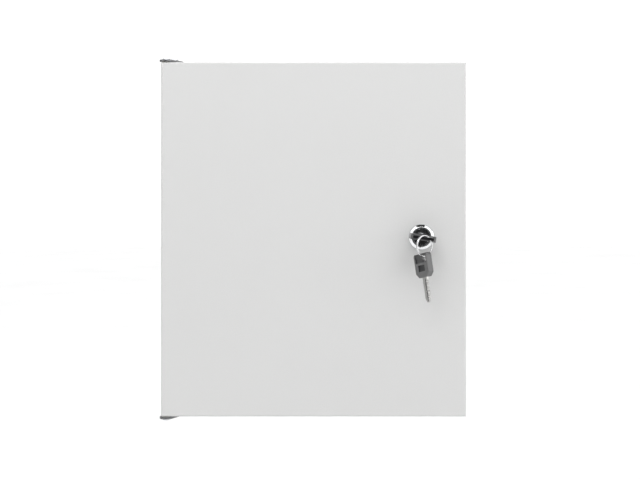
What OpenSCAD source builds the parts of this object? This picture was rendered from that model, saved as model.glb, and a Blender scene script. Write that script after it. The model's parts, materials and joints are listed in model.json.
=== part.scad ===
// Steel wall enclosure: folded back box, hinged pan door, key-operated cam
// lock with a spare key on a split ring, mounting plate and gland plate.
// +X to the right, +Y into the wall, +Z up. The origin is the centre of the
// four wall holes, on the back face. Millimetres.

/* [Enclosure] */
// Outer width of the body and the door
body_w = 300; // [280:5:420]
// Outer height of the body
body_h = 350; // [320:5:500]
// Depth from the wall to the front face of the door
total_d = 100; // [95:5:200]
// Sheet thickness of the body
body_t = 1.2; // [1.0:0.1:1.5]
// Outside radius of the sheet bends
bend_r = 2.0; // [1.7:0.1:3]
// Width of the flange that runs round the front of the body
flange_w = 17; // [16.5:0.5:24]
// Distance between the wall holes across
wall_hole_dx = 260; // [240:5:260]
// Distance between the wall holes up and down
wall_hole_dz = 310; // [280:5:310]
// Radius of the wall holes
wall_hole_r = 3.5; // [2.5:0.25:4.5]

/* [Door] */
// Sheet thickness of the door
door_t = 1.2; // [1.0:0.1:1.5]
// Depth of the door pan
door_d = 14; // [12:0.5:16]
// Gap between the door pan and the body
door_gap = 2.0; // [1.6:0.1:3]
// Thickness of the foam seal
seal_t = 3.5; // [2:0.1:3.5]
// Width of the foam seal
seal_w = 10; // [6:1:12]

/* [Hinges] */
// Thickness of the hinge plates
hinge_t = 2.0; // [1.5:0.1:2.5]
// Radius of the nose round the pivot
nose_r = 6.5; // [6:0.25:7]
// Radius of the pivot rivets
pivot_r = 2.0; // [1.6:0.1:2.2]
// Thickness of the plastic bearing washers
bearing_t = 0.7; // [0.5:0.1:0.9]

/* [Lock] */
// Lock centre, to the right of the middle
lock_x = 105.75; // [90:0.25:106]
// Lock centre, above the middle
lock_z = 2.5; // [-60:0.5:60]
// Radius of the chrome head
bezel_r = 12.8; // [12:0.1:13.5]
// How far the key is turned from the open stop, clockwise from the front
key_turn = 9; // [0:1:90]
// Length of the cam from the lock centre
cam_l = 40; // [34:1:41]

/* [Keys] */
// Width of the plastic key head
hood_w = 25; // [24:0.5:26]
// Length of the plastic key head
hood_l = 23; // [22:0.5:26]
// Thickness of the plastic key head
hood_t = 5.5; // [5:0.25:6.5]
// Length of the blade that shows beyond the head
blade_l = 24.5; // [23:0.5:24.5]
// Angle of the ring plane from edge-on
ring_yaw = 50; // [48:1:51]
// Angle of the spare key's faces from edge-on
spare_yaw = 65; // [62:1:66]
// Swing of the spare key in its own plane
spare_swing = 9; // [7:0.5:10]

/* [Inside] */
// Width of the mounting plate
plate_w = 250; // [200:5:250]
// Height of the mounting plate
plate_h = 300; // [240:5:300]
// Height of the plate above the back wall
plate_lift = 10; // [6:1:20]
// Distance between the rail holes across
rail_dx = 200; // [120:5:200]
// Distance between the rail holes up and down
rail_dz = 125; // [80:5:150]

/* [Hidden] */
$fn = 64;
e = 0.05;

hw = body_w / 2;
hh = body_h / 2;
yf = -total_d;                    // front face of the door
yb = yf + door_d + door_gap;      // front face of the body
door_hh = hh - 0.8;               // half height of the door
lip_in_x = hw - flange_w;         // inside of the lip round the opening
lip_in_z = hh - flange_w;
lip_y = yf + door_t + seal_t + 0.3;

// Pivot axis of the door
px = -hw + 4.5;
py = yf + nose_r;
// Hinge screws
hsx = -hw + 10.5;
hsy = [yb + 8, yb + 20];

// Gland plate, inside the bottom wall
gl_cx = 92; gl_y0 = -66; gl_y1 = -22;
gl_z = -hh + body_t;              // inside face of the bottom wall
gl_seal = 1.5; gl_t = 1.5;
gl_sx = [-80, 0, 80];
gl_sy = [-70, -18];
gr_y = -44;

stud_x = min(110, plate_w / 2 - 15);
stud_z = min(135, plate_h / 2 - 15);

steel = [0.80, 0.81, 0.80];
zinc = [0.72, 0.73, 0.75];
chrome = [0.85, 0.86, 0.88];
brass = [0.80, 0.66, 0.36];
rubber = [0.12, 0.12, 0.13];
black = [0.10, 0.10, 0.11];
nylon = [0.92, 0.92, 0.88];

// ---------- general shapes ----------

// A w by h rectangle with round corners, made of exact arcs
module round_rect(w, h, r) {
    square([w - 2 * r, h], center = true);
    square([w, h - 2 * r], center = true);
    for (sx = [-1, 1], sy = [-1, 1])
        translate([sx * (w / 2 - r), sy * (h / 2 - r)]) circle(r);
}

// Box of folded sheet: bends along the X and Z edges, welded depth edges
module folded(w, h, y0, y1, r) {
    d = y1 - y0; c = (y0 + y1) / 2;
    intersection() {
        translate([0, c, 0]) linear_extrude(h, center = true) round_rect(w, d, r);
        translate([0, c, 0]) rotate([90, 0, 90]) linear_extrude(w + 1, center = true) round_rect(d, h, r);
    }
}

module box(x0, x1, y0, y1, z0, z1)
    translate([x0, y0, z0]) cube([x1 - x0, y1 - y0, z1 - z0]);

// Ring of sheet or rubber round Z
module ring(ro, ri, t) difference() { cylinder(h = t, r = ro); translate([0, 0, -1]) cylinder(h = t + 2, r = ri); }

module hex_nut(af, t, ri) difference() {
    intersection() {
        cylinder(h = t, r = af / 2 / cos(30), $fn = 6);
        rotate_extrude() polygon([[0, 0], [af / 2 + 0.1, 0], [af / 2 + 0.7, 0.45], [af / 2 + 0.7, t - 0.45], [af / 2 + 0.1, t], [0, t]]);
    }
    translate([0, 0, -1]) cylinder(h = t + 2, r = ri);
}

// Pan-head screw with a cross recess: head above z = 0, shank below
module pan_screw(r, hr, hh_, l) difference() {
    rotate_extrude() polygon([[0, -l], [r - 0.4, -l], [r, -l + 0.5], [r, 0], [hr, 0], [hr, hh_ * 0.35],
        [hr * 0.95, hh_ * 0.62], [hr * 0.82, hh_ * 0.84], [hr * 0.6, hh_ * 0.96], [hr * 0.35, hh_], [0, hh_]]);
    for (a = [0, 90]) rotate([0, 0, a]) translate([-hr * 0.62, -hr * 0.13, hh_ * 0.42]) cube([hr * 1.24, hr * 0.26, hh_]);
    translate([0, 0, hh_ * 0.3]) cylinder(h = hh_, r1 = hr * 0.14, r2 = hr * 0.34, $fn = 32);
}

// Local frames. Towards: +Z of the child points to the front of the enclosure
module towards_front(x, y, z) translate([x, y, z]) rotate([90, 0, 0]) children();
module at_lock() towards_front(lock_x, yf, lock_z) children();
module at_plug() at_lock() rotate([0, 0, -key_turn]) children();
// Mirrors the children to the bottom as well
module top_and_bottom() { children(); mirror([0, 0, 1]) children(); }

// ---------- body ----------

module knockout(x, y, r) translate([x, y, hh - 0.8]) difference() {
    ring(r + 0.25, r - 0.25, 2);
    for (a = [35, 215]) rotate([0, 0, a]) translate([r - 2, -1.5, -1]) cube([4, 3, 4]);
}

module body_shell() color(steel) difference() {
    union() {
        difference() {
            folded(body_w, body_h, yb, 0, bend_r);
            folded(body_w - 2 * body_t, body_h - 2 * body_t, yb + body_t, -body_t, bend_r - body_t);
        }
        // lip round the opening
        translate([0, lip_y, 0]) rotate([-90, 0, 0])
            linear_extrude(yb + body_t - lip_y) round_rect(2 * (lip_in_x + body_t), 2 * (lip_in_z + body_t), 2.2);
    }
    // opening inside the lip
    translate([0, lip_y - 1, 0]) rotate([-90, 0, 0])
        linear_extrude(yb + body_t - lip_y + 2) round_rect(2 * lip_in_x, 2 * lip_in_z, 1);
    // wall holes
    for (sx = [-1, 1], sz = [-1, 1])
        translate([sx * wall_hole_dx / 2, 1, sz * wall_hole_dz / 2]) rotate([90, 0, 0]) cylinder(h = body_t + 2, r = wall_hole_r);
    // hinge screw holes
    top_and_bottom() for (y = hsy) translate([hsx, y, hh - body_t - 1]) cylinder(h = body_t + 2, r = 2.15);
    // gland cut-out and its screw holes
    box(-gl_cx, gl_cx, gl_y0, gl_y1, -hh - 1, gl_z + 1);
    for (x = gl_sx, y = gl_sy) translate([x, y, -hh - 1]) cylinder(h = body_t + 2, r = 2.15);
    // knockouts in the top wall, cut part way through
    for (x = [-60, 0, 60]) { knockout(x, -45, 10.2); knockout(x, -45, 12.75); }
}

// ---------- door ----------

module door_panel() color(steel) difference() {
    folded(body_w, 2 * door_hh, yf, yf + 60, bend_r);
    folded(body_w - 2 * door_t, 2 * door_hh - 2 * door_t, yf + door_t, yf + 80, bend_r - door_t);
    box(-hw - 1, hw + 1, yf + door_d, yf + 100, -hh - 1, hh + 1);
    // double-D hole for the lock
    at_lock() translate([0, 0, -door_t - 1]) linear_extrude(door_t + 3)
        intersection() { circle(9.6); square([16.2, 30], center = true); }
    // pivot holes
    top_and_bottom() translate([px, py, hh - 4]) cylinder(h = 6, r = pivot_r + e);
}

module door_gasket() color(rubber) translate([0, yf + door_t, 0]) rotate([-90, 0, 0]) difference() {
    linear_extrude(seal_t) round_rect(2 * lip_in_x + body_t + seal_w, 2 * lip_in_z + body_t + seal_w, 4);
    translate([0, 0, -1]) linear_extrude(seal_t + 2) round_rect(2 * lip_in_x + body_t - seal_w, 2 * lip_in_z + body_t - seal_w, 1.5);
}

// ---------- hinges ----------

// Point where the tangent from q touches the nose, on side s
function tangent(q, s) = let (v = q - [px, py], d = norm(v), a = atan2(v[1], v[0]) + s * acos(nose_r / d))
    [px + nose_r * cos(a), py + nose_r * sin(a)];

module hinge_plate() {
    xl = -hw + 1; xr = -hw + 19; yk = yb + 27;
    qa = [xr, yb + 5]; qb = [xl, yb + 0.5];
    difference() {
        translate([0, 0, hh]) linear_extrude(hinge_t) {
            translate([px, py]) circle(nose_r);
            polygon([[px, py], tangent(qa, -1), qa, [xr, yk - 4], [xr - 4, yk], [xl + 4, yk], [xl, yk - 4], qb, tangent(qb, 1)]);
            translate([xr - 4, yk - 4]) circle(4);
            translate([xl + 4, yk - 4]) circle(4);
        }
        translate([px, py, hh - 1]) cylinder(h = hinge_t + 2, r = pivot_r + 0.02);
        for (y = hsy) translate([hsx, y, hh - 1]) cylinder(h = hinge_t + 2, r = 2.15);
    }
}
module hinge_plate_top() color(zinc) hinge_plate();
module hinge_plate_bottom() color(zinc) mirror([0, 0, 1]) hinge_plate();

module hinge_rivet() translate([px, py, 0]) rotate_extrude() polygon([
    [0, hh - 4.0], [2.5, hh - 4.0], [2.9, hh - 3.6], [2.9, hh - 2.7], [2.6, hh - 2.4], [pivot_r, hh - 2.4],
    [pivot_r, hh + hinge_t], [3.9, hh + hinge_t], [3.8, hh + hinge_t + 0.5], [3.45, hh + hinge_t + 1.05],
    [2.8, hh + hinge_t + 1.5], [1.8, hh + hinge_t + 1.8], [0.8, hh + hinge_t + 1.9], [0, hh + hinge_t + 1.9]]);
module hinge_rivet_top() color(zinc) hinge_rivet();
module hinge_rivet_bottom() color(zinc) mirror([0, 0, 1]) hinge_rivet();

module hinge_washer() translate([px, py, hh - 0.4 - bearing_t / 2]) ring(4.4, pivot_r + 0.08, bearing_t);
module hinge_washer_top() color(nylon) hinge_washer();
module hinge_washer_bottom() color(nylon) mirror([0, 0, 1]) hinge_washer();

module hinge_screws() color(zinc) top_and_bottom()
    for (y = hsy) translate([hsx, y, hh + hinge_t]) rotate([0, 0, 25 + y]) pan_screw(1.95, 4, 2.5, 8);
module hinge_nuts() color(zinc) top_and_bottom()
    for (y = hsy) translate([hsx, y, hh - body_t - 3.2]) rotate([0, 0, 10 + y]) hex_nut(7, 3.2, 2.0);

// ---------- mounting plate ----------

module at_studs() for (sx = [-1, 1], sz = [-1, 1]) towards_front(sx * stud_x, -body_t, sz * stud_z) rotate([0, 0, 13 * sx + 7 * sz]) children();

module mounting_plate() color(zinc) {
    y0 = -body_t - plate_lift; c = 12; w = plate_w / 2; h = plate_h / 2;
    translate([0, y0, 0]) rotate([90, 0, 0]) linear_extrude(1.5) difference() {
        polygon([[-w + c, -h], [w - c, -h], [w, -h + c], [w, h - c], [w - c, h], [-w + c, h], [-w, h - c], [-w, -h + c]]);
        for (sx = [-1, 1], sz = [-1, 1]) {
            translate([sx * stud_x, sz * stud_z]) circle(3.3);
            translate([sx * rail_dx / 2, sz * rail_dz / 2]) circle(2.7);
        }
    }
}
module plate_studs() color(zinc) at_studs() cylinder(h = plate_lift + 10, r = 3);
module plate_spacers() color(zinc) at_studs() ring(5.5, 3.15, plate_lift);
module plate_washers() color(zinc) at_studs() translate([0, 0, plate_lift + 1.5]) ring(6.2, 3.2, 1.2);
module plate_nuts() color(zinc) at_studs() translate([0, 0, plate_lift + 2.7]) hex_nut(10, 5, 3.05);

// ---------- earth studs ----------

module earth_at() towards_front(-100, -body_t, -160) children();
module earth_stud() color(zinc) earth_at() cylinder(h = 16, r = 3);
module earth_washer() color(zinc) earth_at() difference() {
    ring(6.5, 3.15, 1);
    for (i = [0:11]) rotate([0, 0, i * 30]) translate([5.3, -0.4, -1]) cube([3, 0.8, 3]);
}
module earth_nut() color(zinc) earth_at() translate([0, 0, 1]) rotate([0, 0, 11]) hex_nut(10, 5, 3.05);

module door_earth_at() translate([-115, yf + door_t, -138]) rotate([-90, 0, 0]) children();
module door_earth_stud() color(zinc) door_earth_at() cylinder(h = 12, r = 2.5);
module door_earth_washer() color(zinc) door_earth_at() difference() {
    ring(5.2, 2.65, 1);
    for (i = [0:9]) rotate([0, 0, i * 36]) translate([4.2, -0.4, -1]) cube([3, 0.8, 3]);
}
module door_earth_nut() color(zinc) door_earth_at() translate([0, 0, 1]) rotate([0, 0, 20]) hex_nut(8, 4, 2.55);

// ---------- gland plate ----------

module gland_outline(grow) translate([0, (gl_y0 + gl_y1) / 2]) round_rect(2 * gl_cx + 2 * grow, gl_y1 - gl_y0 + 2 * grow, 3);
// hole radius of a grommet: the middle one is larger
function gr_r(i) = i == 0 ? 16 : 12.75;
function gr_x(i) = 52 * i;

module gland_plate() color(zinc) translate([0, 0, gl_z + gl_seal]) difference() {
    linear_extrude(gl_t) gland_outline(8);
    for (i = [-1:1]) translate([gr_x(i), gr_y, -1]) cylinder(h = gl_t + 2, r = gr_r(i));
    for (x = gl_sx, y = gl_sy) translate([x, y, -1]) cylinder(h = gl_t + 2, r = 2.1);
}
module gland_gasket() color(rubber) translate([0, 0, gl_z]) difference() {
    linear_extrude(gl_seal) gland_outline(8);
    translate([0, 0, -1]) linear_extrude(gl_seal + 2) gland_outline(0);
    for (x = gl_sx, y = gl_sy) translate([x, y, -1]) cylinder(h = gl_seal + 2, r = 2.2);
}
module gland_screws() color(zinc) for (x = gl_sx, y = gl_sy)
    translate([x, y, -hh]) rotate([180, 0, x / 3 + y]) pan_screw(1.95, 4, 2.2, 9);
module gland_nuts() color(zinc) for (x = gl_sx, y = gl_sy)
    translate([x, y, gl_z + gl_seal + gl_t]) rotate([0, 0, x + y]) hex_nut(7, 3.2, 2.0);

// Membrane grommet: two flanges, a waist in the plate and a stepped closed skin
module grommet(i) {
    r = gr_r(i); z0 = gl_z + gl_seal;
    color(rubber) translate([gr_x(i), gr_y, z0]) rotate_extrude() polygon([
        [0, -1.6], [r - 8, -1.6], [r - 7.4, -0.9], [r - 5.4, -0.9], [r - 4.8, -0.2], [r - 2.6, -0.2], [r - 2.0, -2.2],
        [r + 2.2, -2.2], [r + 3, -1.5], [r + 3, -e], [r - e, -e], [r - e, gl_t + e], [r + 2.4, gl_t + e],
        [r + 2.2, gl_t + 0.9], [r + 0.6, gl_t + 1.8], [r - 1.6, gl_t + 1.8], [r - 2.2, 0.8], [r - 5.2, 0.8], [r - 5.8, 0.1],
        [r - 7.8, 0.1], [r - 8.4, -0.6], [0, -0.6]]);
}
module cable_grommet_left() grommet(-1);
module cable_grommet_middle() grommet(0);
module cable_grommet_right() grommet(1);

// ---------- lock ----------

lock_l = 25;
module wedge(a0, a1, r) polygon(concat([[0, 0]], [for (i = [0:8]) let (a = a0 + (a1 - a0) * i / 8) [r * cos(a), r * sin(a)]]));

module lock_housing() color(chrome) at_lock() difference() {
    rotate_extrude($fn = 96) polygon([[6.55, -lock_l], [9.0, -lock_l], [9.5, -lock_l + 0.5], [9.5, 0], [bezel_r, 0],
        [bezel_r, 0.9], [bezel_r - 0.15, 1.5], [bezel_r - 0.5, 2.05], [bezel_r - 1, 2.5], [9.9, 3.78],
        [9.7, 3.85], [9.52, 3.74], [8.45, 2.35], [8.45, 0.1], [6.55, 0.1]]);
    for (s = [-1, 1]) translate([s * 13, 0, -lock_l / 2 - 0.5]) cube([10, 30, lock_l + 1], center = true);
    // notch that the stop lug travels in
    translate([0, 0, -lock_l - 1]) linear_extrude(2.6) intersection() {
        difference() { circle(11); circle(6.3); }
        wedge(-74, -196, 14);
    }
}
module lock_washer() color(zinc) at_lock() translate([0, 0, -door_t - 0.85]) ring(12.4, 9.6, 0.8);
module lock_nut() color(zinc) at_lock() translate([0, 0, -door_t - 0.9 - 4]) rotate([0, 0, 8]) hex_nut(22, 4, 9.55);

wafer_h = [-3, -7, -11, -15, -19];
module lock_plug() color(chrome) at_plug() difference() {
    union() {
        rotate_extrude() polygon([[0, -lock_l], [6.5, -lock_l], [6.5, 0.2], [8.25, 0.2], [8.25, 1.7], [7.85, 2.1], [0, 2.1]]);
        translate([-3.5, -3.5, -lock_l - 2.7]) cube([7, 7, 3]);
    }
    translate([-4.3, -1.3, -21.8]) cube([8.6, 2.6, 30]);
    for (h = wafer_h) translate([-7, -2.7, h - 0.55]) cube([14, 5.4, 1.1]);
    translate([0, 0, -lock_l - 4]) cylinder(h = 6.6, r = 2.05);
}
module lock_wafers() color(brass) at_plug() for (h = wafer_h) translate([0, 0, h - 0.45]) linear_extrude(0.9) difference() {
    intersection() { circle(6.4); square([14, 5.2], center = true); }
    square([8.4, 2.5], center = true);
}
module stop_washer() color(zinc) at_plug() {
    difference() {
        translate([0, 0, -lock_l - 1]) cylinder(h = 0.95, r = 9.2);
        translate([-3.55, -3.55, -lock_l - 2]) cube([7.1, 7.1, 4]);
    }
    translate([0, 0, -lock_l - 0.5]) linear_extrude(1.9) intersection() {
        difference() { circle(9.2); circle(6.9); }
        wedge(-104, -76, 14);
    }
}
module lock_cam() color(zinc) at_plug() translate([0, 0, -lock_l - 3.05]) difference() {
    intersection() {
        rotate([90, 0, 90]) linear_extrude(24, center = true) polygon([[-12, 0], [12, 0], [12.8, 0], [20.4, 6.4], [cam_l + 2, 6.4], [cam_l + 2, 8.4],
            [19.6, 8.4], [12, 2], [-12, 2]]);
        translate([0, 0, -1]) linear_extrude(12) {
            circle(10);
            translate([-8, 0]) square([16, cam_l - 8]);
            translate([0, cam_l - 8]) circle(8);
        }
    }
    translate([-3.55, -3.55, -2]) cube([7.1, 7.1, 5]);
}
module cam_washer() color(zinc) at_plug() translate([0, 0, -lock_l - 4.1]) ring(6, 2.2, 1);
module cam_screw() color(zinc) at_plug() translate([0, 0, -lock_l - 4.15]) rotate([180, 0, 30]) pan_screw(2.0, 4.2, 2.8, 6);

// ---------- keys ----------
// Key frame: x across the head, y through it, z from the tip to the head.
// z = 0 is the end of the plastic head where the blade leaves it.

bite = [-4.6, -8.2, -11.8, -15.4, -19.0];
bite_d = [1.6, 0.9, 2.1, 1.2, 1.8];
function bow_pts(c) = [[4 + c, 1.5 - c], [7 + c, 3.5 - c], [7 + c, 12.2 + c], [6 + c, 13.2 + c],
    [-6 - c, 13.2 + c], [-7 - c, 12.2 + c], [-7 - c, 3.5 - c], [-4 - c, 1.5 - c]];
function key_pts() = concat(
    [[-4, -blade_l + 4], [-1.6, -blade_l + 0.4], [-0.4, -blade_l], [1.2, -blade_l + 1.6], [2.2, -21.4]],
    [for (i = [4:-1:0]) each [[4 - bite_d[i] * 0.3 - 0.5, bite[i] - 1.5], [4 - bite_d[i], bite[i] - 0.4], [4 - bite_d[i], bite[i] + 0.4], [4 - bite_d[i] * 0.2, bite[i] + 1.6]]],
    [[4, -1]], bow_pts(0));

module key_metal() color(chrome) difference() {
    rotate([90, 0, 0]) linear_extrude(2.2, center = true) polygon(key_pts());
    // milled grooves along the blade
    translate([-2.4, 0.65, -blade_l - 1]) cube([1.3, 1, blade_l - 0.5]);
    translate([0.1, -1.65, -blade_l - 1]) cube([1.3, 1, blade_l - 0.5]);
    // moulding hole in the bow
    translate([0, 3, 9]) rotate([90, 0, 0]) cylinder(h = 6, r = 2.4);
}

// The ring hole sits toward one edge of the head.
hole_x = 5.3; hole_w = 7.0; hole_l = 5.4; web = 2.2; plate = 2.4; pocket_w = 20; pocket_l = 8.8;
module key_plastic() color(black) {
    w = hood_w / 2; l = hood_l;
    difference() {
        rotate([90, 0, 0]) linear_extrude(hood_t, center = true) {
            polygon([[-w + 5.3, 0], [w - 5.3, 0], [w, 4.2], [w, l - 3], [w - 3, l], [-w + 3, l], [-w, l - 3], [-w, 4.2]]);
            for (s = [-1, 1]) translate([s * (w - 3), l - 3]) circle(3);
        }
        // pockets that thin the head to a plate round the ring hole
        for (s = [-1, 1]) translate([0, s * (plate / 2 + 5), l - pocket_l / 2 + 1]) cube([pocket_w, 10, pocket_l + 2], center = true);
        translate([hole_x, 0, l - web - hole_l / 2]) rotate([90, 0, 0]) linear_extrude(20, center = true) round_rect(hole_w, hole_l, 1.4);
        // bare recessed panels
        for (s = [-1, 1]) translate([0, s * (hood_t / 2 + 4.2), 8.8]) cube([12, 10, 6], center = true);
        rotate([90, 0, 0]) linear_extrude(2.3, center = true) polygon(concat([[-4.05, -1], [4.05, -1]], bow_pts(0.05)));
    }
    // plug of plastic through the moulding hole
    translate([0, 1.25, 9]) rotate([90, 0, 0]) cylinder(h = 2.5, r = 2.3);
}

plug_h = 3.2;                         // head of the key above the door face
module at_key() at_plug() translate([0, 0, plug_h]) children();
module key_blade() at_key() key_metal();
module key_hood() at_key() key_plastic();

// ---------- ring and spare key ----------

ring_ri = 9.4; ring_ro = 10.5; ring_a = 1.8;
u0 = 0.8;                             // where the ring crosses the web of the key head
web_x = lock_x + u0 * cos(key_turn);
web_y = yf - plug_h - hood_l + web / 2;
web_z = lock_z - u0 * sin(key_turn);
ring_z = web_z - 7.45;

module at_ring() translate([web_x, web_y, ring_z]) rotate([0, 0, -ring_yaw]) rotate([0, 90, 0]) children();
module key_ring() color(chrome) at_ring() rotate_extrude($fn = 96) translate([(ring_ri + ring_ro) / 2, 0])
    round_rect(ring_ro - ring_ri, ring_a, 0.5);

// The spare key hangs from the lowest point of the ring, tip down. The wire
// bears on its web at one side of the hole, so its tip leans to the right.
spare_u = 3.9;
module at_spare() translate([web_x, web_y, ring_z - (ring_ri + ring_ro) / 2]) rotate([0, -4, 0]) rotate([0, 0, -spare_yaw])
    rotate([0, -spare_swing, 0]) translate([-spare_u, 0, (ring_ro - ring_ri) / 2 + 0.45 + web - hood_l]) children();
module spare_key_blade() at_spare() key_metal();
module spare_key_hood() at_spare() key_plastic();

body_shell();
door_panel();
door_gasket();
hinge_plate_top();
hinge_plate_bottom();
hinge_rivet_top();
hinge_rivet_bottom();
hinge_washer_top();
hinge_washer_bottom();
hinge_screws();
hinge_nuts();
mounting_plate();
plate_studs();
plate_spacers();
plate_washers();
plate_nuts();
earth_stud();
earth_washer();
earth_nut();
door_earth_stud();
door_earth_washer();
door_earth_nut();
gland_plate();
gland_gasket();
gland_screws();
gland_nuts();
cable_grommet_left();
cable_grommet_middle();
cable_grommet_right();
lock_housing();
lock_washer();
lock_nut();
lock_plug();
lock_wafers();
stop_washer();
lock_cam();
cam_washer();
cam_screw();
key_blade();
key_hood();
key_ring();
spare_key_blade();
spare_key_hood();
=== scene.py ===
import json
import math

import bmesh
import bpy
from mathutils import Matrix, Vector


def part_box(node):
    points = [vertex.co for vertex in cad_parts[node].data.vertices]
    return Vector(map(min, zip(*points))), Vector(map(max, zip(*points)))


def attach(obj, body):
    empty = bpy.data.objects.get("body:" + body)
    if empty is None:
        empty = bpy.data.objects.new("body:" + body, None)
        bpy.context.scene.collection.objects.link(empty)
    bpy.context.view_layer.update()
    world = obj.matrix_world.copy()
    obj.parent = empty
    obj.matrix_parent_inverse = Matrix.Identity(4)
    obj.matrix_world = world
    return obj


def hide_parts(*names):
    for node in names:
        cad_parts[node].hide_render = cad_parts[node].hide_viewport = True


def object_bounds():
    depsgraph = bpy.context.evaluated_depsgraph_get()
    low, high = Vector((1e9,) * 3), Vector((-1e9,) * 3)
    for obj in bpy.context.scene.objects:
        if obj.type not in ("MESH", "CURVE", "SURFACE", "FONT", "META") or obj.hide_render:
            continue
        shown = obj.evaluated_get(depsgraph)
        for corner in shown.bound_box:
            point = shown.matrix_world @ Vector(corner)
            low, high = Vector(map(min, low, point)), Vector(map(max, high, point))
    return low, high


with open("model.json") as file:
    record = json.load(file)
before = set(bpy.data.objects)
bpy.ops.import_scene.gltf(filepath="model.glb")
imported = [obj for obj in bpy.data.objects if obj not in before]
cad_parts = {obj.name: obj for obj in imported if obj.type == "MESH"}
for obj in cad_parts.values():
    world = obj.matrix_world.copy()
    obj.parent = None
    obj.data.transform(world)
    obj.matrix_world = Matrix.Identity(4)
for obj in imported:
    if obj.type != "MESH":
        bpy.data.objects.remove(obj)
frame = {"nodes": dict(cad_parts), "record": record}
cad_lo, cad_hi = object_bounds()
nodes = frame["nodes"]
rec = frame["record"]
joints = {j["name"]: j for j in rec["behaviour"]["joints"]}
TAU = 2 * math.pi


# ------------------------------------------------------------------ materials
class Mat:
    """Small helper that builds a node tree."""

    def __init__(self, name):
        self.m = bpy.data.materials.new(name)
        self.m.use_nodes = True
        self.nt = self.m.node_tree
        self.bsdf = self.nt.nodes["Principled BSDF"]
        tc = self.nt.nodes.new("ShaderNodeTexCoord")
        self.co = tc.outputs["Object"]

    def node(self, kind, **kw):
        n = self.nt.nodes.new(kind)
        for k, v in kw.items():
            setattr(n, k, v)
        return n

    def link(self, a, b):
        self.nt.links.new(a, b)

    def scaled(self, sx, sy=None, sz=None, rot=(0, 0, 0)):
        n = self.node("ShaderNodeMapping")
        n.inputs["Scale"].default_value = (sx, sy if sy is not None else sx, sz if sz is not None else sx)
        n.inputs["Rotation"].default_value = rot
        self.link(self.co, n.inputs["Vector"])
        return n.outputs["Vector"]

    def noise(self, scale, detail=4, rough=0.55, vec=None, distortion=0.0, w=None):
        n = self.node("ShaderNodeTexNoise")
        if w is not None:
            n.noise_dimensions = "4D"
            n.inputs["W"].default_value = w
        n.inputs["Scale"].default_value = scale
        n.inputs["Detail"].default_value = detail
        n.inputs["Roughness"].default_value = rough
        n.inputs["Distortion"].default_value = distortion
        self.link(vec if vec is not None else self.co, n.inputs["Vector"])
        return n.outputs["Fac"]

    def voronoi(self, scale, out="Distance", feature="F1", vec=None, rand=1.0):
        n = self.node("ShaderNodeTexVoronoi", feature=feature)
        n.inputs["Scale"].default_value = scale
        n.inputs["Randomness"].default_value = rand
        self.link(vec if vec is not None else self.co, n.inputs["Vector"])
        return n.outputs[out]

    def ramp(self, fac, stops, interp="LINEAR"):
        n = self.node("ShaderNodeValToRGB")
        n.color_ramp.interpolation = interp
        els = n.color_ramp.elements
        while len(els) < len(stops):
            els.new(0.5)
        for el, (p, c) in zip(els, stops):
            el.position = p
            el.color = (c, c, c, 1) if isinstance(c, (int, float)) else (*c, 1)
        self.link(fac, n.inputs["Fac"])
        return n.outputs["Color"]

    def remap(self, fac, a, b, c, d):
        n = self.node("ShaderNodeMapRange")
        n.inputs["From Min"].default_value = a
        n.inputs["From Max"].default_value = b
        n.inputs["To Min"].default_value = c
        n.inputs["To Max"].default_value = d
        self.link(fac, n.inputs["Value"])
        return n.outputs["Result"]

    def math(self, op, a, b):
        n = self.node("ShaderNodeMath", operation=op)
        for i, v in enumerate((a, b)):
            if isinstance(v, (int, float)):
                n.inputs[i].default_value = v
            else:
                self.link(v, n.inputs[i])
        return n.outputs[0]

    def mix(self, fac, a, b, blend="MIX"):
        n = self.node("ShaderNodeMix", data_type="RGBA", blend_type=blend)
        for sock, v in ((n.inputs[0], fac), (n.inputs[6], a), (n.inputs[7], b)):
            if isinstance(v, (int, float)):
                sock.default_value = v
            elif isinstance(v, tuple):
                sock.default_value = (*v, 1)
            else:
                self.link(v, sock)
        return n.outputs[2]

    def bump(self, height, distance, strength=1.0, after=None):
        n = self.node("ShaderNodeBump")
        n.inputs["Distance"].default_value = distance
        n.inputs["Strength"].default_value = strength
        self.link(height, n.inputs["Height"])
        if after is not None:
            self.link(after, n.inputs["Normal"])
        return n.outputs["Normal"]

    def set(self, **kw):
        for k, v in kw.items():
            s = self.bsdf.inputs[k.replace("_", " ")]
            if isinstance(v, (int, float)):
                s.default_value = v
            elif isinstance(v, tuple):
                s.default_value = (*v, 1) if len(v) == 3 and s.type == "RGBA" else v
            else:
                self.link(v, s)
        return self


def powder_coat(name, c0, c1, seed):
    m = Mat(name)
    grain = m.noise(1150, 3, 0.6, w=seed)
    patch = m.noise(9, 3, 0.5, w=seed + 3)
    col = m.ramp(grain, [(0.30, c0), (0.72, c1)])
    col = m.mix(m.remap(patch, 0.3, 0.7, 0.0, 0.35), col, tuple(x * 0.97 for x in c1))
    fine = m.voronoi(1500, feature="SMOOTH_F1")
    b = m.bump(fine, 0.00010, 0.35)
    b = m.bump(m.noise(520, 2, 0.5, w=seed), 0.00012, 0.30, after=b)
    m.set(Base_Color=col, Roughness=m.remap(grain, 0.3, 0.7, 0.47, 0.60), Normal=b)
    m.bsdf.inputs["Specular IOR Level"].default_value = 0.42
    return m.m


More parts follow.
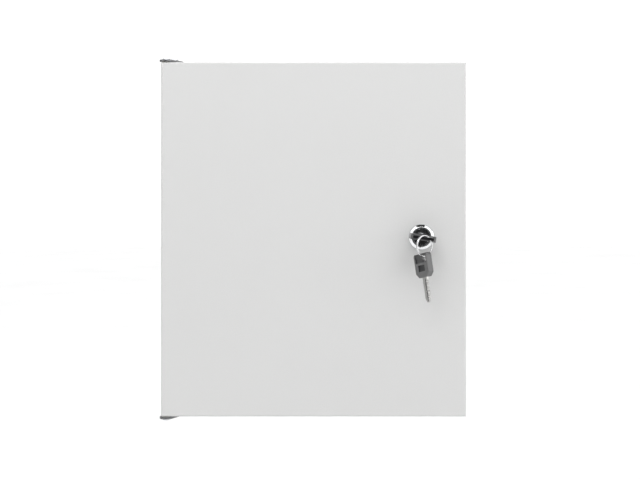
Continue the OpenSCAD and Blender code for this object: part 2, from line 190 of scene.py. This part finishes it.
def zinc(name, base=(0.66, 0.67, 0.69), rough=(0.22, 0.40), scale=1.0, seed=0.0, tint=(0.62, 0.64, 0.69)):
    m = Mat(name)
    cloud = m.noise(160 * scale, 5, 0.6, w=seed)
    fine = m.noise(2600 * scale, 3, 0.6, w=seed + 1)
    scr = m.noise(1.0, 4, 0.7, vec=m.scaled(2400, 260, 900, (0.4, 0.2, 0.7)))
    col = m.mix(m.remap(cloud, 0.35, 0.65, 0.0, 1.0), base, tint)
    col = m.mix(m.remap(fine, 0.45, 0.8, 0.0, 0.25), col, tuple(x * 0.72 for x in base))
    r = m.math("ADD", m.remap(cloud, 0.3, 0.7, rough[0], rough[1]), m.remap(scr, 0.35, 0.7, -0.05, 0.07))
    b = m.bump(scr, 0.00002, 0.35)
    m.set(Base_Color=col, Metallic=1.0, Roughness=r, Normal=b)
    return m.m


def galvanised(name):
    m = Mat(name)
    warp = m.noise(60, 2, 0.5)
    vec = m.node("ShaderNodeVectorMath", operation="ADD")
    sc = m.node("ShaderNodeVectorMath", operation="SCALE")
    sc.inputs["Scale"].default_value = 0.006
    nn = m.node("ShaderNodeTexNoise")
    nn.inputs["Scale"].default_value = 70
    m.link(m.co, nn.inputs["Vector"])
    m.link(nn.outputs["Color"], sc.inputs[0])
    m.link(m.co, vec.inputs[0])
    m.link(sc.outputs[0], vec.inputs[1])
    v = m.node("ShaderNodeTexVoronoi", feature="F1")
    v.inputs["Scale"].default_value = 95
    m.link(vec.outputs[0], v.inputs["Vector"])
    sep = m.node("ShaderNodeSeparateColor")
    m.link(v.outputs["Color"], sep.inputs[0])
    cell = sep.outputs[0]
    feather = m.noise(1.0, 5, 0.75, vec=m.scaled(420, 420, 60, (0, 0.6, 0)))
    col = m.ramp(cell, [(0.0, (0.56, 0.58, 0.60)), (0.5, (0.64, 0.66, 0.68)), (1.0, (0.72, 0.735, 0.755))])
    col = m.mix(m.remap(feather, 0.3, 0.7, 0.0, 0.35), col, (0.50, 0.52, 0.55))
    r = m.math("ADD", m.remap(cell, 0, 1, 0.28, 0.46), m.remap(warp, 0.3, 0.7, -0.03, 0.05))
    m.set(Base_Color=col, Metallic=1.0, Roughness=r, Normal=m.bump(feather, 0.00003, 0.4))
    return m.m


def chrome(name, base=(0.80, 0.81, 0.82), rough=0.06, seed=0.0):
    m = Mat(name)
    smudge = m.noise(260, 4, 0.6, w=seed)
    speck = m.noise(4200, 2, 0.5, w=seed + 2)
    col = m.mix(m.remap(smudge, 0.4, 0.75, 0.0, 0.30), base, tuple(x * 0.86 for x in base))
    r = m.math("ADD", m.remap(smudge, 0.35, 0.75, rough, rough + 0.08), m.remap(speck, 0.6, 0.8, 0.0, 0.06))
    m.set(Base_Color=col, Metallic=1.0, Roughness=r, Normal=m.bump(m.noise(900, 2, 0.5, w=seed), 0.000006, 0.25))
    return m.m


def cut_steel(name, base=(0.66, 0.65, 0.63), rough=0.20):
    """Nickel-plated key blank: drawn lines, dull handling marks."""
    m = Mat(name)
    lines = m.noise(1.0, 3, 0.7, vec=m.scaled(5200, 3800, 340, (0.1, 0.05, 0.0)))
    cloud = m.noise(420, 4, 0.6)
    col = m.mix(m.remap(cloud, 0.35, 0.7, 0.0, 0.7), base, tuple(x * 0.80 for x in base))
    r = m.math("ADD", m.remap(cloud, 0.3, 0.7, rough, rough + 0.14), m.remap(lines, 0.35, 0.65, -0.04, 0.06))
    m.set(Base_Color=col, Metallic=1.0, Roughness=r, Normal=m.bump(lines, 0.00003, 0.5))
    return m.m


def plastic(name, base=(0.016, 0.016, 0.017), rough=0.34, seed=0.0, level=1.0, pit=0.00003, coat=0.9):
    m = Mat(name)
    erosion = m.voronoi(2600, feature="SMOOTH_F1")
    cloud = m.noise(240, 3, 0.55, w=seed)
    scuff = m.noise(1.0, 4, 0.75, vec=m.scaled(300, 2100, 900, (0.3, 0.9, 0.2)))
    col = m.mix(m.remap(cloud, 0.35, 0.7, 0.0, 1.0), base, tuple(min(1, x * 1.30 + 0.002) for x in base))
    col = m.mix(m.remap(scuff, 0.64, 0.82, 0.0, 0.25), col, tuple(min(1, x * 2.2 + 0.01) for x in base))
    r = m.math("ADD", m.remap(cloud, 0.3, 0.7, rough - 0.04, rough + 0.06), m.remap(scuff, 0.55, 0.8, 0.0, 0.10))
    m.set(Base_Color=col, Roughness=r, Normal=m.bump(erosion, pit, 0.4))
    m.bsdf.inputs["Specular IOR Level"].default_value = level
    m.bsdf.inputs["Coat Weight"].default_value = coat
    m.bsdf.inputs["Coat Roughness"].default_value = 0.18
    return m.m


def rubber(name, base=(0.022, 0.022, 0.023), rough=0.62, foam=False):
    m = Mat(name)
    cloud = m.noise(130, 4, 0.6)
    pores = m.voronoi(1900 if foam else 3300, feature="F1")
    dust = m.noise(700, 4, 0.7)
    col = m.mix(m.remap(cloud, 0.35, 0.7, 0.0, 1.0), base, tuple(x * 1.5 for x in base))
    col = m.mix(m.remap(dust, 0.58, 0.78, 0.0, 0.35), col, (0.13, 0.13, 0.125))
    m.set(Base_Color=col, Roughness=m.remap(cloud, 0.3, 0.7, rough - 0.06, rough + 0.12), Normal=m.bump(pores, 0.00012 if foam else 0.00004, 0.5))
    return m.m


def nylon(name):
    m = Mat(name)
    cloud = m.noise(300, 3, 0.5)
    col = m.mix(m.remap(cloud, 0.3, 0.7, 0.0, 1.0), (0.80, 0.79, 0.74), (0.70, 0.69, 0.63))
    m.set(Base_Color=col, Roughness=m.remap(cloud, 0.3, 0.7, 0.36, 0.5), Normal=m.bump(m.noise(1800, 2, 0.5), 0.00003, 0.4))
    m.bsdf.inputs["Subsurface Weight"].default_value = 0.15
    m.bsdf.inputs["Subsurface Radius"].default_value = (0.002, 0.0018, 0.0014)
    m.bsdf.inputs["Subsurface Scale"].default_value = 0.4
    return m.m


M_DOOR = powder_coat("paint_door", (0.534, 0.535, 0.533), (0.597, 0.598, 0.595), 1.0)
M_BODY = powder_coat("paint_body", (0.534, 0.535, 0.533), (0.593, 0.594, 0.591), 7.0)
M_ZINC = zinc("zinc_plate", seed=2.0)
M_ZSCR = zinc("zinc_screws", base=(0.70, 0.70, 0.71), rough=(0.18, 0.32), scale=2.2, seed=5.0)
# Hinge plates: zinc darkened well below plain zinc; the darkness is painted shade standing for the shaded undersides of
# the hinge leaves.
M_ZHINGE_SHADED = zinc("zinc_hinge_painted_shade", base=(0.22, 0.222, 0.226), rough=(0.26, 0.44), scale=1.2, seed=11.0, tint=(0.165, 0.167, 0.172))
M_ZCAM = zinc("zinc_cam", base=(0.64, 0.66, 0.68), rough=(0.25, 0.42), scale=1.4, seed=8.0)
M_GALV = galvanised("galvanised_sheet")
M_CHROME = chrome("chrome_lock")
M_PLUG = chrome("chrome_plug", base=(0.72, 0.73, 0.74), rough=0.09, seed=4.0)
M_RING = chrome("steel_ring", base=(0.74, 0.74, 0.75), rough=0.13, seed=6.0)
M_KEY = cut_steel("key_steel", base=(0.47, 0.466, 0.455))
M_BRASS = cut_steel("wafer_brass", base=(0.70, 0.52, 0.24), rough=0.24)
# Key groove: the near-black steel colour in the milled groove is painted shade; its rougher milled finish is real.
M_GROOVE_SHADE = cut_steel("key_groove_painted_shade", base=(0.06, 0.059, 0.057), rough=0.42)
M_HOOD = plastic("hood_plastic")
M_TIP = plastic("hood_end", base=(0.011, 0.011, 0.012), rough=0.12, seed=1.0, level=0.5, coat=0.0)
M_MATT = plastic("hood_panel", base=(0.026, 0.026, 0.027), rough=0.74, seed=3.0, level=0.40, pit=0.00008, coat=0.0)
M_POCKET = plastic("hood_pocket", base=(0.052, 0.052, 0.053), rough=0.60, seed=5.0, level=0.60, pit=0.00006, coat=0.0)
M_SEAL = rubber("seal_foam", (0.030, 0.030, 0.031), 0.80, foam=True)
M_RUB = rubber("grommet_rubber")
M_NYLON = nylon("bearing_nylon")


def paint(obj, mat):
    obj.data.materials.clear()
    obj.data.materials.append(mat)


SLOT_MAT = {"paint": M_BODY, "zinc": M_ZINC, "galvanised": M_GALV, "chrome": M_CHROME, "key_steel": M_KEY, "brass": M_BRASS,
            "seal": M_SEAL, "rubber": M_RUB, "plastic": M_HOOD, "nylon": M_NYLON}
slot_of = {s["node"]: s["material_slot"] for s in rec["subparts"]}
body_of = {n: b for b, ns in rec["behaviour"]["bodies"].items() for n in ns}
NODE_MAT = {"door_panel": M_DOOR, "lock_plug": M_PLUG, "key_ring": M_RING, "lock_cam": M_ZCAM, "stop_washer": M_ZCAM,
            "hinge_plate_top": M_ZHINGE_SHADED, "hinge_plate_bottom": M_ZHINGE_SHADED}
for n in ("hinge_screws", "gland_screws", "cam_screw", "plate_studs", "earth_stud", "door_earth_stud", "hinge_nuts", "gland_nuts",
          "plate_nuts", "earth_nut", "door_earth_nut", "lock_nut", "plate_washers", "earth_washer", "door_earth_washer",
          "cam_washer", "lock_washer", "hinge_rivet_top", "hinge_rivet_bottom"):
    NODE_MAT[n] = M_ZSCR


# ------------------------------------------------------------------ geometry helpers
def clean_copy(node, way):
    """bmesh copy of a CAD node; the triangles of each flat face are joined, or re-cut, or left."""
    src = nodes[node]
    bm = bmesh.new()
    bm.from_mesh(src.data)
    bm.transform(src.matrix_world)
    bmesh.ops.remove_doubles(bm, verts=bm.verts, dist=2e-6)
    if way in ("joined", "recut"):
        bmesh.ops.dissolve_limit(bm, angle_limit=math.radians(0.6), verts=bm.verts, edges=bm.edges)
    if way == "recut":
        bmesh.ops.triangulate(bm, faces=bm.faces, quad_method="BEAUTY", ngon_method="BEAUTY")
    bm.normal_update()
    return bm


def skin_area(me):
    """Area of a mesh once it is cut into triangles: a folded face shows up as too much."""
    me.calc_loop_triangles()
    return sum(t.area for t in me.loop_triangles)


def refine(node, width=0.0002, segments=2, angle=32, name=None, weigh=None, mats=None):
    """A copy of a CAD node with its sharp edges broken, as rolled, stamped or moulded edges are."""
    true_area = skin_area(nodes[node].data)
    for way in ("joined", "recut", "raw", "plain"):
        bm = clean_copy(node, way)
        if weigh:
            layer = bm.edges.layers.float.new("bevel_weight_edge")
            for e in bm.edges:
                if len(e.link_faces) == 2 and e.calc_face_angle(0) > math.radians(angle):
                    e[layer] = weigh(e)
        me = bpy.data.meshes.new(name or node + "_fine")
        bm.to_mesh(me)
        bm.free()
        o = bpy.data.objects.new(me.name, me)
        bpy.context.scene.collection.objects.link(o)
        for p in me.polygons:
            p.use_smooth = True
        if width and way != "plain":
            b = o.modifiers.new("edges", "BEVEL")
            b.width = width
            b.segments = segments
            b.limit_method = "WEIGHT" if weigh else "ANGLE"
            b.angle_limit = math.radians(angle)
            b.harden_normals = False
            b.miter_outer = "MITER_ARC"
            b.use_clamp_overlap = True
        settle(o, angle)
        if way == "plain" or skin_area(o.data) < true_area * 1.01:
            break
        folded = o.data
        bpy.data.objects.remove(o)
        bpy.data.meshes.remove(folded)
    finish_piece(o, node)
    if mats:
        o.data.materials.clear()
        for m in mats[0]:
            o.data.materials.append(m)
        for p in o.data.polygons:
            p.material_index = mats[1](p)
    return o


def settle(o, angle=32):
    """Applies the modifiers and marks sharp edges for shading."""
    dg = bpy.context.evaluated_depsgraph_get()
    me = bpy.data.meshes.new_from_object(o.evaluated_get(dg))
    o.modifiers.clear()
    old = o.data
    o.data = me
    bpy.data.meshes.remove(old)
    me.name = o.name
    for p in me.polygons:
        p.use_smooth = True
    me.set_sharp_from_angle(angle=math.radians(angle))
    w = o.modifiers.new("normals", "WEIGHTED_NORMAL")
    w.keep_sharp = True
    w.weight = 60


def finish_piece(o, node, mat=None, body=None, replace=True):
    paint(o, mat or NODE_MAT.get(node) or SLOT_MAT[slot_of[node]])
    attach(o, body or body_of[node])
    if replace:
        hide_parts(node)


def mesh_object(name, verts, faces, smooth_angle=35):
    me = bpy.data.meshes.new(name)
    me.from_pydata([tuple(v) for v in verts], [], faces)
    me.validate()
    me.update()
    bm = bmesh.new()
    bm.from_mesh(me)
    bmesh.ops.recalc_face_normals(bm, faces=bm.faces)
    bm.to_mesh(me)
    bm.free()
    for p in me.polygons:
        p.use_smooth = True
    me.set_sharp_from_angle(angle=math.radians(smooth_angle))
    o = bpy.data.objects.new(name, me)
    bpy.context.scene.collection.objects.link(o)
    return o


# ------------------------------------------------------------------ carried-over nodes
def span(node, axis):
    d = [axis.dot(nodes[node].matrix_world @ v.co) for v in nodes[node].data.vertices]
    return min(d), max(d)


def head(node, axis, along):
    """Plastic head: generous moulded radii outside, crisp recesses, matt recess floors."""
    lo, hi = span(node, axis)
    mid, half = (lo + hi) / 2, (hi - lo) / 2
    foot, tip = span(node, along)
    pts = [nodes[node].matrix_world @ v.co for v in nodes[node].data.vertices][::3]
    hull = {}

    def outside(f):
        if f.index not in hull:
            c = f.calc_center_median()
            hull[f.index] = max((q - c).dot(f.normal) for q in pts) < 5e-5
        return hull[f.index]

    def weigh(e):
        f, g = e.link_faces
        if not e.is_convex:
            return 0.0                      # inner corners stay crisp, clear of the ring
        if outside(f) and outside(g):
            return 1.0 if max(f.normal.dot(along), g.normal.dot(along)) > 0.9 else 0.66
        return 0.14

    def which(p):
        if p.normal.dot(along) > 0.97 and p.center.dot(along) > tip - 0.0002:
            return 1
        if abs(p.center.dot(axis) - mid) < half - 0.00035 and abs(p.normal.dot(axis)) > 0.6:
            return 3 if p.center.dot(along) > tip - 0.0105 else 2
        return 0

    return refine(node, 0.0016, 5, weigh=weigh, mats=((M_HOOD, M_TIP, M_MATT, M_POCKET), which), angle=28)


def blade(node, axis):
    lo, hi = span(node, axis)
    mid, half = (lo + hi) / 2, (hi - lo) / 2

    # faces recessed inside the blade's thickness (the groove) take the painted-shade groove material
    def which(p):
        d = abs(p.center.dot(axis) - mid)
        return 1 if d < half - 0.00018 and abs(p.normal.dot(axis)) > 0.7 else 0

    return refine(node, 0.00013, 2, mats=((M_KEY, M_GROOVE_SHADE), which))


def join(parts):
    verts, faces = [], []
    for v, f in parts:
        k = len(verts)
        verts += v
        faces += [tuple(i + k for i in q) for q in f]
    return verts, faces


def frame_of(axis):
    z = axis.normalized()
    x = z.orthogonal().normalized()
    return x, z.cross(x), z


def threaded(p0, p1, r, pitch, seg=28, per=7):
    """Threaded rod from p0 (root) to p1 (free end, chamfered): verts and faces of one closed surface."""
    p0, p1 = Vector(p0), Vector(p1)
    x, y, z = frame_of(p1 - p0)
    length = (p1 - p0).length
    depth = 0.6134 * pitch
    n = int(length / pitch * per)
    verts, faces = [], []
    for i in range(n + 1):
        h = length * i / n
        cap = r - max(0.0, h - (length - pitch * 0.9)) * 0.9
        for j in range(seg):
            t = TAU * j / seg
            ph = (h / pitch - j / seg) % 1.0
            tri = abs(2 * ph - 1)
            tri = min(1.0, max(0.0, (tri - 0.10) / 0.76))
            rr = min(cap, r - depth * tri * min(1.0, h / (0.6 * pitch)))
            verts.append(p0 + z * h + x * (rr * math.cos(t)) + y * (rr * math.sin(t)))
    for i in range(n):
        for j in range(seg):
            a, b = i * seg + j, i * seg + (j + 1) % seg
            faces.append((a, b, b + seg, a + seg))
    for ring, centre, flip in ((0, p0, True), (n * seg, p1, False)):
        verts.append(centre)
        c = len(verts) - 1
        for j in range(seg):
            q = (c, ring + j, ring + (j + 1) % seg)
            faces.append(q[::-1] if flip else q)
    return verts, faces


def studs(node, centres, r, pitch, y0, y1):
    v, f = join([threaded((x, y0, z), (x, y1, z), r, pitch) for x, z in centres])
    o = mesh_object(node + "_threaded", v, f, 50)
    finish_piece(o, node)
    return o


def split_ring(node):
    """Flat-wire split ring: two turns side by side, with the step where one turn passes to the other."""
    pts = [nodes[node].matrix_world @ v.co for v in nodes[node].data.vertices]
    lo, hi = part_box(node)
    c = (Vector(lo) + Vector(hi)) / 2
    up = Vector((0, 0, 1))
    flat = [Vector((p.x - c.x, p.y - c.y, 0)) for p in pts]
    # the ring's plane holds Z; its normal is the horizontal direction of least spread
    best = min((sum((q.x * math.cos(a) + q.y * math.sin(a)) ** 2 for q in flat), a) for a in [math.pi * i / 720 for i in range(720)])
    n = Vector((math.cos(best[1]), math.sin(best[1]), 0))
    n = -n if n.x < 0 else n
    u = up.cross(n)
    ro = max(((p - c) - n * n.dot(p - c)).length for p in pts)
    ri = min(((p - c) - n * n.dot(p - c)).length for p in pts)
    ax = max(abs(n.dot(p - c)) for p in pts)
    rm, hr, ha = (ri + ro) / 2, (ro - ri) / 2 * 0.84, ax / 2 * 0.90
    cr = 0.32e-3
    sec = []
    for sx, sy, a0 in ((1, 1, 0), (-1, 1, 90), (-1, -1, 180), (1, -1, 270)):
        for k in range(4):
            a = math.radians(a0 + 30 * k)
            sec.append((sx * (hr - cr) + cr * math.cos(a), sy * (ha - cr) + cr * math.sin(a)))
    m = len(sec)
    verts, faces = [], []
    t0, t1 = 15.0, 705.0
    steps = 230
    start = math.radians(-38)
    for i in range(steps + 1):
        t = t0 + (t1 - t0) * i / steps
        k = min(1.0, max(0.0, (t - 346.0) / 28.0))
        k = k * k * (3 - 2 * k)
        off = (k * 2 - 1) * (ax - ha)
        ends = min(t - t0, t1 - t)
        fit = 1.0 if ends > 3.5 else 0.62 + 0.38 * math.sqrt(max(0.0, 1 - (1 - ends / 3.5) ** 2))
        a = start + math.radians(t)
        d = u * math.cos(a) + up * math.sin(a)
        for sx, sy in sec:
            verts.append(c + d * (rm + sx * fit) + n * (off + sy * fit))
    for i in range(steps):
        for j in range(m):
            a, b = i * m + j, i * m + (j + 1) % m
            faces.append((a, b, b + m, a + m))
    faces.append(tuple(range(m))[::-1])
    faces.append(tuple(steps * m + j for j in range(m)))
    o = mesh_object("split_ring", verts, faces, 50)
    finish_piece(o, node)
    return o


def gasket(node):
    """Foam strip swept round the door: square against the door, crowned towards the enclosure."""
    lo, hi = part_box(node)
    cx, cz = (lo.x + hi.x) / 2, (lo.z + hi.z) / 2
    xs = [(nodes[node].matrix_world @ v.co).x for v in nodes[node].data.vertices]
    w = min(hi.x - x for x in xs if hi.x - x > 0.005)      # past the corner arcs: the strip's width
    r = 0.0024
    sec = [(0.0, lo.y)]
    for k in range(7):
        t = math.pi / 2 * k / 6
        sec.append((r - r * math.cos(t), hi.y - r + r * math.sin(t)))
    for k in range(7):
        t = math.pi / 2 * k / 6
        sec.append((w - r + r * math.sin(t), hi.y - r + r * math.cos(t)))
    sec.append((w, lo.y))
    m, per = len(sec), 7
    verts, faces = [], []
    for sx, sz, a0 in ((1, 1, 0), (-1, 1, 90), (-1, -1, 180), (1, -1, 270)):
        for k in range(per):
            a = math.radians(a0 + 90.0 * k / (per - 1))
            for t, y in sec:
                rc = 0.004 - 0.0025 * t / w
                hx, hz = (hi.x - lo.x) / 2 - t, (hi.z - lo.z) / 2 - t
                verts.append((cx + sx * (hx - rc) + rc * math.cos(a), y, cz + sz * (hz - rc) + rc * math.sin(a)))
    n = 4 * per
    for i in range(n):
        for j in range(m):
            i2, j2 = (i + 1) % n, (j + 1) % m
            faces.append((i * m + j, i * m + j2, i2 * m + j2, i2 * m + j))
    o = mesh_object("door_gasket_foam", verts, faces, 40)
    finish_piece(o, node)
    return o


u_ax = Vector(joints["ring_swing"]["axis"])
z_ax = -Vector(joints["key_slide"]["axis"])
THROUGH = {"key": u_ax.cross(z_ax).normalized(), "spare_key": Vector(joints["spare_key_swing"]["axis"]).normalized()}


def end_normal(blade_node, head_node):
    """Outward normal of the head's end face: roughly from the blade's centre to the head's, then exactly."""
    mids = []
    for n in (blade_node, head_node):
        vs = [nodes[n].matrix_world @ v.co for v in nodes[n].data.vertices]
        mids.append(sum(vs, Vector()) / len(vs))
    rough = (mids[1] - mids[0]).normalized()
    turn = nodes[head_node].matrix_world.to_3x3()
    total = Vector()
    for p in nodes[head_node].data.polygons:
        n = (turn @ p.normal).normalized()
        if n.dot(rough) > 0.95:
            total += n * p.area
    return total.normalized()


ALONG = {"key": end_normal("key_blade", "key_hood"), "spare_key": end_normal("spare_key_blade", "spare_key_hood")}

BEVEL = {"body_shell": (0.00028, 2), "door_panel": (0.00028, 2), "hinge_plate_top": (0.00030, 3), "hinge_plate_bottom": (0.00030, 3),
         "mounting_plate": (0.00018, 2), "gland_plate": (0.00018, 2), "lock_cam": (0.00030, 2), "stop_washer": (0.00012, 1),
         "lock_housing": (0.00012, 2), "lock_plug": (0.00012, 2)}


def stud_at(node, r):
    lo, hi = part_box(node)
    return (lo.x + r, hi.x - r, lo.z + r, hi.z - r, lo.y, hi.y)


for n, o in list(nodes.items()):
    if n == "lock_wafers":
        paint(o, SLOT_MAT[slot_of[n]])
    elif n in ("key_hood", "spare_key_hood"):
        head(n, THROUGH[body_of[n]], ALONG[body_of[n]])
    elif n in ("key_blade", "spare_key_blade"):
        blade(n, THROUGH[body_of[n]])
    elif n == "key_ring":
        split_ring(n)
    elif n == "door_gasket":
        gasket(n)
    elif n == "plate_studs":
        x0, x1, z0, z1, y0, y1 = stud_at(n, 0.003)
        studs(n, [(x, z) for x in (x0, x1) for z in (z0, z1)], 0.003, 0.001, y1, y0)
    elif n == "earth_stud":
        x0, x1, z0, z1, y0, y1 = stud_at(n, 0.003)
        studs(n, [(x0, z0)], 0.003, 0.001, y1, y0)
    elif n == "door_earth_stud":
        x0, x1, z0, z1, y0, y1 = stud_at(n, 0.0025)
        studs(n, [(x0, z0)], 0.0025, 0.0008, y0, y1)
    else:
        w, sg = BEVEL.get(n, (0.00010, 1))
        refine(n, w, sg)


# ------------------------------------------------------------------ stage
def stage_floor():
    z = cad_lo.z - 0.30
    n = 24
    verts, faces = [], []
    for i in range(n + 1):
        for j in range(n + 1):
            verts.append((-9.0 + 18.0 * i / n, -2.3 + 11.3 * j / n, z))
    for i in range(n):
        for j in range(n):
            a = i * (n + 1) + j
            faces.append((a, a + n + 1, a + n + 2, a + 1))
    o = mesh_object("floor", verts, faces)
    m = Mat("floor_paper")
    g = m.noise(3, 3, 0.5)
    m.set(Base_Color=m.ramp(g, [(0.3, 0.80), (0.7, 0.84)]), Roughness=0.85)
    paint(o, m.m)


stage_floor()


def area(name, loc, target, sx, sy, power, color=(1, 1, 1)):
    d = bpy.data.lights.new(name, "AREA")
    d.shape = "RECTANGLE"
    d.size, d.size_y = sx, sy
    d.energy = power
    d.color = color
    o = bpy.data.objects.new(name, d)
    o.location = loc
    o.rotation_mode = "QUATERNION"
    o.rotation_quaternion = (Vector(target) - Vector(loc)).to_track_quat("-Z", "Y")
    bpy.context.scene.collection.objects.link(o)
    return o


lamp = area("soft_top", (0.05, -0.95, 1.05), (0.05, -0.1, 0.0), 1.2, 0.5, 7.2)
lamp.visible_camera = False

# The world is the studio: black round the view direction, a ring of soft boxes in front of the object
# (bright above and to the right), a narrower white wall outside them with a gap overhead, dim beyond.
world = bpy.data.worlds.new("studio")
bpy.context.scene.world = world
world.use_nodes = True
wt = world.node_tree
bg = wt.nodes["Background"]


def wnode(kind, **kw):
    n = wt.nodes.new(kind)
    for k, v in kw.items():
        setattr(n, k, v)
    return n


def wmath(op, *args):
    n = wnode("ShaderNodeMath", operation=op)
    for i, v in enumerate(args):
        if isinstance(v, (int, float)):
            n.inputs[i].default_value = v
        else:
            wt.links.new(v, n.inputs[i])
    return n.outputs[0]


def wstep(v, a, b, c=0.0, d=1.0):
    n = wnode("ShaderNodeMapRange", interpolation_type="SMOOTHSTEP")
    for sock, x in zip(("From Min", "From Max", "To Min", "To Max"), (a, b, c, d)):
        n.inputs[sock].default_value = x
    wt.links.new(v, n.inputs["Value"])
    return n.outputs["Result"]


def wlerp(t, a, b):
    return wmath("ADD", wmath("MULTIPLY", a, wmath("SUBTRACT", 1.0, t)), wmath("MULTIPLY", b, t))


L_CORE, L_FILL, L_UP, L_RIGHT, L_LEFT, L_LOW = 0.02, 1.35, 1.25, 2.3, 0.8, 0.3
L_WALL, L_SIDE, L_EDGE, L_BACK, L_TOP = 1.5, 0.40, 2.6, 0.42, 3.0
wtc = wnode("ShaderNodeTexCoord")
wsep = wnode("ShaderNodeSeparateXYZ")
wt.links.new(wtc.outputs["Generated"], wsep.inputs[0])
dx, dy, dz = wsep.outputs
azim = wmath("ARCTAN2", dx, dz)                    # 0 straight up, + to the right
turn = wmath("ABSOLUTE", azim)
boxes = wlerp(wstep(azim, 0.95, 1.20), L_UP, L_RIGHT)
boxes = wlerp(wstep(azim, -1.20, -0.95, 1.0, 0.0), boxes, L_LEFT)
boxes = wlerp(wstep(turn, 1.85, 2.10), boxes, L_LOW)
gap = wstep(turn, 0.36, 0.44, 1.0, 0.0)
right = wmath("MULTIPLY", wstep(azim, 1.05, 1.25), wstep(azim, 1.95, 2.15, 1.0, 0.0))
lum = wlerp(wstep(dy, -0.945, -0.885), L_CORE, L_FILL)
lum = wlerp(wstep(dy, -0.87, -0.81), lum, boxes)
lum = wlerp(wstep(dy, -0.56, -0.51), lum, wlerp(gap, L_WALL, 0.03))
lum = wlerp(wstep(dy, -0.26, -0.22), lum, wlerp(right, wlerp(gap, L_SIDE, 0.03), L_EDGE))
lum = wlerp(wstep(dy, -0.02, 0.10), lum, wlerp(right, L_BACK, 1.2))
over = wmath("MULTIPLY", wstep(dz, 0.62, 0.80), wstep(dy, 0.0, 0.08))
lum = wlerp(over, lum, L_TOP)
wcol = wnode("ShaderNodeCombineColor")
for i in range(3):
    wt.links.new(lum, wcol.inputs[i])
lp = wnode("ShaderNodeLightPath")
mixc = wnode("ShaderNodeMix", data_type="RGBA")
wt.links.new(lp.outputs["Is Camera Ray"], mixc.inputs[0])
wt.links.new(wcol.outputs[0], mixc.inputs[6])
mixc.inputs[7].default_value = (1.15, 1.15, 1.15, 1)
wt.links.new(mixc.outputs[2], bg.inputs["Color"])
bg.inputs["Strength"].default_value = 1.0

# ------------------------------------------------------------------ camera
cam_d = bpy.data.cameras.new("camera")
cam = bpy.data.objects.new("camera", cam_d)
bpy.context.scene.collection.objects.link(cam)
bpy.context.scene.camera = cam
CAM_Z = 0.055
CAM_D = 1.2
PX_MM = 1.0180
DOOR_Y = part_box("door_panel")[0].y
cam.location = (0.0, DOOR_Y - CAM_D, CAM_Z)
cam.rotation_euler = (math.pi / 2, 0, 0)
cam_d.sensor_width = 36
cam_d.lens = PX_MM * CAM_D * 1000 / 640 * 36
cam_d.shift_x = (320 - 313.6) / 640
cam_d.shift_y = (239.45 - CAM_Z * 1000 * PX_MM - 240) / 640
cam_d.clip_start = 0.02
cam_d.clip_end = 60

bpy.context.scene.view_settings.view_transform = "Standard"
bpy.context.scene.view_settings.look = "None"
